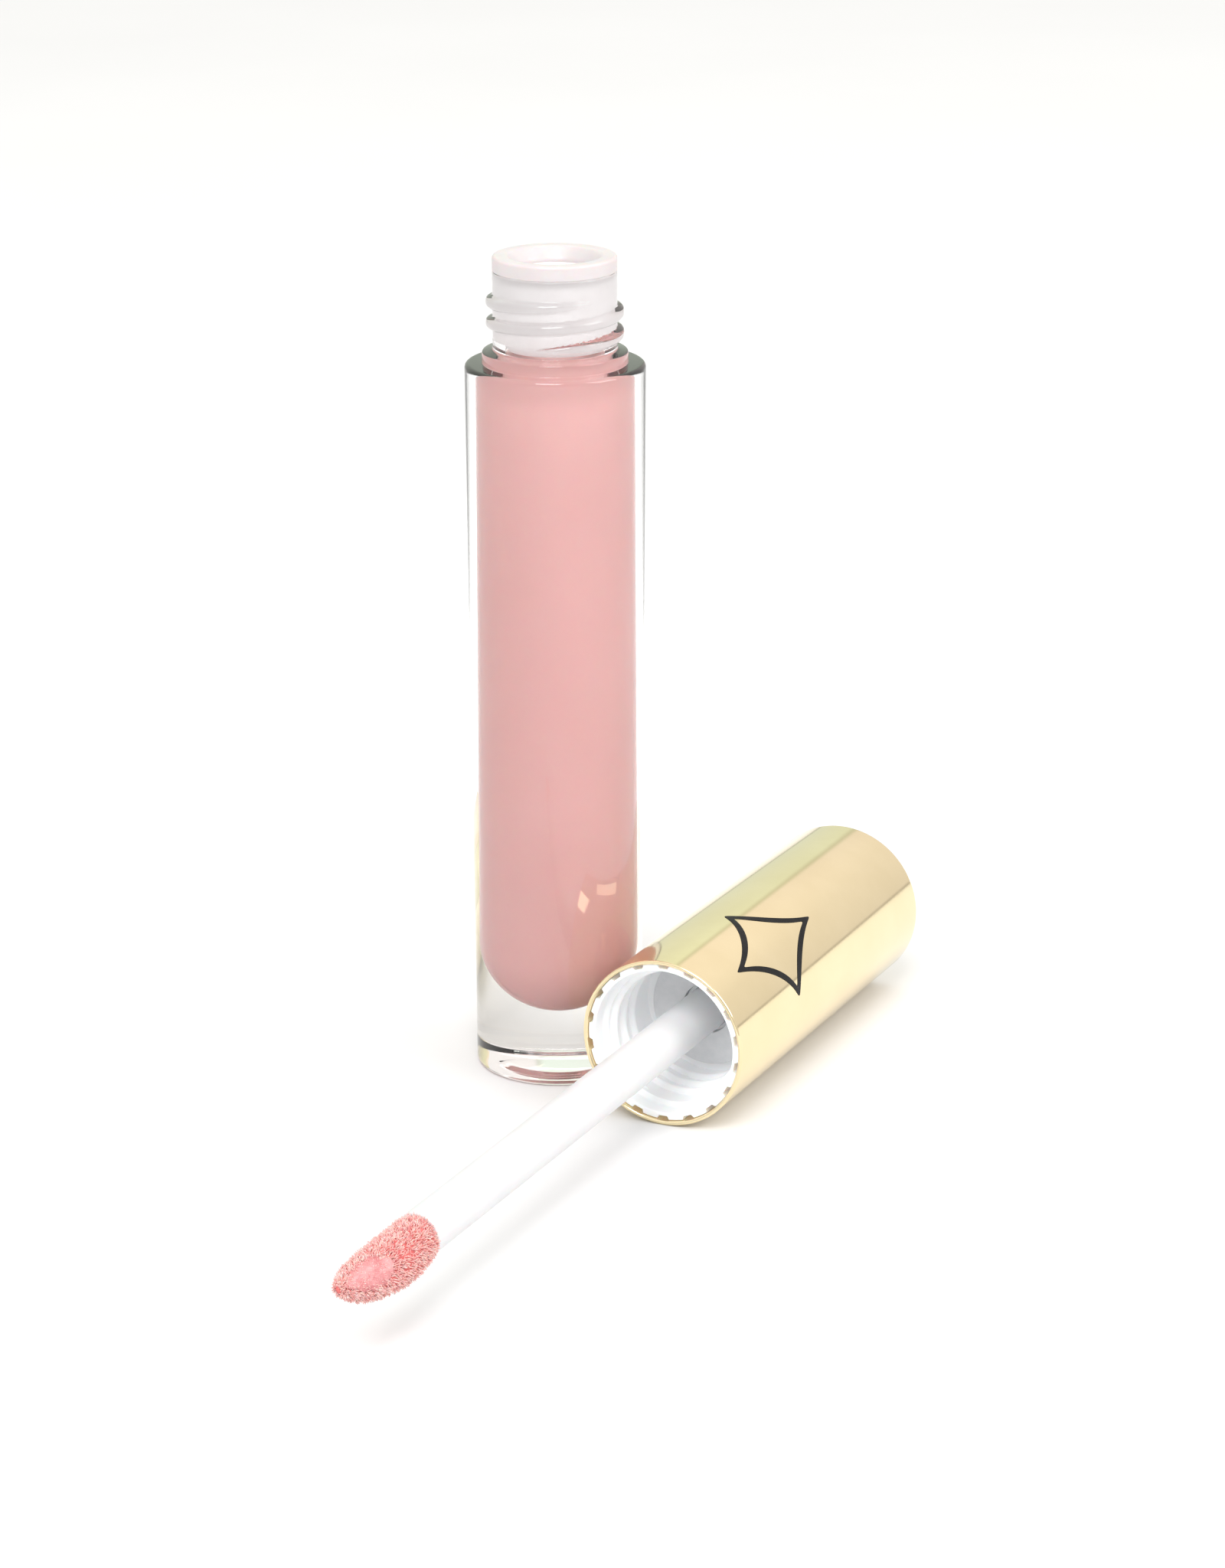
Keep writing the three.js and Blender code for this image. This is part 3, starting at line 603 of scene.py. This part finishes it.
def fibres(count, rng):
    """Short flock fibres, each a tapered three-sided stalk leaning a little its own way."""
    base, out, length, radius = fibre_axes(count, rng)
    side = np.cross(out, rng.normal(0, 1, (count, 3)))
    side /= np.linalg.norm(side, axis=1)[:, None]
    other = np.cross(out, side)
    rows = []
    for height, size in FIBRE_TAPER:
        for k in range(3):
            a = TAU * k / 3
            rows.append(base + out * length * height
                        + (side * math.cos(a) + other * math.sin(a)) * radius * size)
    points = np.stack(rows, 1).reshape(-1, 3)
    faces = []
    for n in range(count):
        o = 9 * n
        for level in (0, 3):
            for k in range(3):
                j = (k + 1) % 3
                faces.append((o + level + k, o + level + j, o + level + 3 + j, o + level + 3 + k))
        faces.append((o + 6, o + 7, o + 8))
    return points, faces


def build_tip(mats):
    points, faces = tip_skin(0.0)
    piece("tip_core_body", on_cap(points), faces, "cap", ["tip_core"],
          mats["core"])
    points, faces = tip_skin(FLOCK_BED)
    piece("flock_bed_body", on_cap(points), faces, "cap", ["tip_flock"],
          mats["felt"])
    rng = np.random.default_rng(SEED)
    points, faces = fibres(FIBRE_COUNT, rng)
    piece("flock_fibres_body", on_cap(points), faces, "cap", [], mats["fibre"],
          sharp=0)
    build_smear(mats)


def smear_points(rows, cols):
    """The smear's top and underside, as two grids of points over the slanted face."""
    along = np.linspace(0, 1, rows)[:, None]
    u = np.linspace(-1, 1, cols)[None, :]
    edge = np.sin(math.pi * np.clip(along, 0.02, 0.98)) ** 0.6
    wobble = 1 + 0.08 * np.sin(9 * along * math.pi) + 0.05 * np.sin(23 * along * math.pi + 1)
    t = math.pi / 2 + SMEAR_HALF * edge * wobble * u
    places = (SMEAR_FROM - SMEAR_LENGTH * along) * np.ones_like(t)
    rise = np.clip((1 - np.abs(u) ** 3) * edge, 0, 1)
    lumps = 0.03 * np.sin(31 * along + 5 * u) * np.sin(17 * u + 9 * along)
    top = tip_point(places, t, SMEAR_TOP + (SMEAR_RISE + lumps) * rise)
    under = tip_point(places, t, SMEAR_UNDER * np.ones_like(t))
    return np.concatenate([top.reshape(-1, 3), under.reshape(-1, 3)])


def smear_faces(rows, cols):
    n = rows * cols
    faces = []
    for i in range(rows - 1):
        for j in range(cols - 1):
            a = i * cols + j
            b, c, d = a + 1, a + cols + 1, a + cols
            faces.append((a, b, c, d))
            faces.append((n + a, n + d, n + c, n + b))
    border = list(range(cols)) + [i * cols + cols - 1 for i in range(1, rows)]
    border += [(rows - 1) * cols + j for j in range(cols - 2, -1, -1)]
    border += [i * cols for i in range(rows - 2, 0, -1)]
    for k, a in enumerate(border):
        b = border[(k + 1) % len(border)]
        faces.append((a, n + a, n + b, b))
    return faces


def build_smear(mats):
    """Wet gloss matted over the fibres on the lower half of the slanted face."""
    rows, cols = 60, 48
    piece("smear_body", on_cap(smear_points(rows, cols)), smear_faces(rows, cols), "cap",
          ["gloss_smear"], mats["smear"], sharp=0)


def pointed(wave):
    return MARK_ROUNDNESS * wave + (1 - MARK_ROUNDNESS) * wave**3


def build_mark(mats):
    """A plain printed ornament: the outline of a four-pointed star."""
    count = 480
    t = np.arange(count) * TAU / count
    along = MARK_HALF_LENGTH * pointed(np.cos(t))
    around = MARK_HALF_WIDTH * pointed(np.sin(t)) / CAP_R
    rows = []
    section = ((1, MARK_UNDER), (1, MARK_OVER), (MARK_INNER, MARK_OVER), (MARK_INNER, MARK_UNDER))
    for share, lift in section:
        a = MARK_ANGLE + share * around
        radius = CAP_R + lift
        place = MARK_CENTRE + share * along
        rows.append(np.stack([radius * np.cos(a), radius * np.sin(a), place], 1))
    points = np.stack(rows, 1).reshape(-1, 3)
    faces = band_faces(count, 4, closed=True)
    piece("mark_body", on_cap(points), faces, "cap", ["cap_mark"], mats["ink"],
          sharp=30)


# ---- Studio ----------------------------------------------------------------------------------
def build_floor():
    mesh = bpy.data.meshes.new("floor")
    corners = [(-1, -1), (1, -1), (1, 1), (-1, 1)]
    mesh.from_pydata([(x * FLOOR_SIZE, y * FLOOR_SIZE, 0) for x, y in corners], [],
                     [(0, 1, 2, 3)])
    floor = bpy.data.objects.new("floor", mesh)
    bpy.context.scene.collection.objects.link(floor)
    floor.location.z = -FLOOR_DROP
    mat = surface("floor_paper", ((0.75, 0.75, 0.755), (0.765, 0.765, 0.77)), (0.75, 0.85),
                  (6, 9, 300), (0.02, 0.0001), Specular_IOR_Level=0.03)
    mesh.materials.append(mat)


def stops(tree, fac, colours):
    """A colour ramp through (place, colour) stops."""
    made = node(tree, "ShaderNodeValToRGB")
    elements = made.color_ramp.elements
    elements[0].position, elements[1].position = colours[0][0], colours[-1][0]
    for place, _ in colours[1:-1]:
        elements.new(place)
    for element, (_, colour) in zip(elements, colours):
        element.color = (*colour, 1)
    tree.links.new(fac, made.inputs["Fac"])
    return made.outputs["Color"]


def multiplied(tree, one, other):
    made = node(tree, "ShaderNodeMix", data_type="RGBA", blend_type="MULTIPLY")
    made.inputs["Factor"].default_value = 1.0
    tree.links.new(one, made.inputs[6])
    tree.links.new(other, made.inputs[7])
    return made.outputs[2]


def build_world():
    """A white studio: bright overhead, greyer low down at the back, dim behind the camera, with
    faintly tinted panels around it."""
    world = bpy.data.worlds.new("studio")
    bpy.context.scene.world = world
    world.use_nodes = True
    tree = world.node_tree
    background = tree.nodes["Background"]
    split = node(tree, "ShaderNodeSeparateXYZ")
    coords = node(tree, "ShaderNodeTexCoord").outputs["Generated"]
    tree.links.new(coords, split.inputs["Vector"])
    height = map_range(tree, split.outputs["Z"], -1, 1, 0, 1)
    sky = stops(tree, height, [(place, (value,) * 3) for place, value in SKY])
    dim = map_range(tree, split.outputs["Y"], *BEHIND)
    bearing = node(tree, "ShaderNodeMath", operation="ARCTAN2")
    tree.links.new(split.outputs["X"], bearing.inputs[0])
    tree.links.new(split.outputs["Y"], bearing.inputs[1])
    across = map_range(tree, bearing.outputs["Value"], -PANEL_REACH, PANEL_REACH, 0, 1)
    tinted = multiplied(tree, multiplied(tree, sky, dim), stops(tree, across, PANELS))
    tree.links.new(tinted, background.inputs["Color"])
    background.inputs["Strength"].default_value = 1.0


def area_light(name, place, size, power):
    """A square soft light aimed at the object."""
    data = bpy.data.lights.new(name, "AREA")
    data.shape = "RECTANGLE"
    data.size = size
    data.size_y = size
    data.energy = power
    lamp = bpy.data.objects.new(name, data)
    bpy.context.scene.collection.objects.link(lamp)
    lamp.location = place
    aim = Vector(LIT_POINT) - Vector(place)
    lamp.rotation_euler = aim.to_track_quat("-Z", "Y").to_euler()


def build_camera():
    data = bpy.data.cameras.new("camera")
    data.sensor_width = CAMERA_SENSOR
    data.sensor_fit = "AUTO"
    data.lens = CAMERA_LENS
    data.clip_start, data.clip_end = 0.01, 20
    cam = bpy.data.objects.new("camera", data)
    bpy.context.scene.collection.objects.link(cam)
    cam.location = Vector(BOTTLE_AXIS) + Vector(CAMERA_FROM_BOTTLE)
    yaw, pitch, roll = (math.radians(v) for v in (CAMERA_YAW, CAMERA_PITCH, CAMERA_ROLL))
    ahead = Vector((-math.sin(yaw) * math.cos(pitch), math.cos(yaw) * math.cos(pitch),
                    -math.sin(pitch)))
    right = Vector((math.cos(yaw), math.sin(yaw), 0))
    up = right.cross(ahead)
    turned_right = right * math.cos(roll) + up * math.sin(roll)
    turned_up = up * math.cos(roll) - right * math.sin(roll)
    cam.rotation_euler = Matrix((turned_right, turned_up, -ahead)).transposed().to_euler()
    bpy.context.scene.camera = cam


MATS = make_materials()
build_bottle(MATS)
build_shell(MATS)
build_inner_cap(MATS)
build_wand(MATS)
build_tip(MATS)
build_mark(MATS)
build_floor()
build_world()
for light in LIGHTS:
    area_light(*light)
build_camera()
bpy.context.scene.view_settings.view_transform = "Standard"
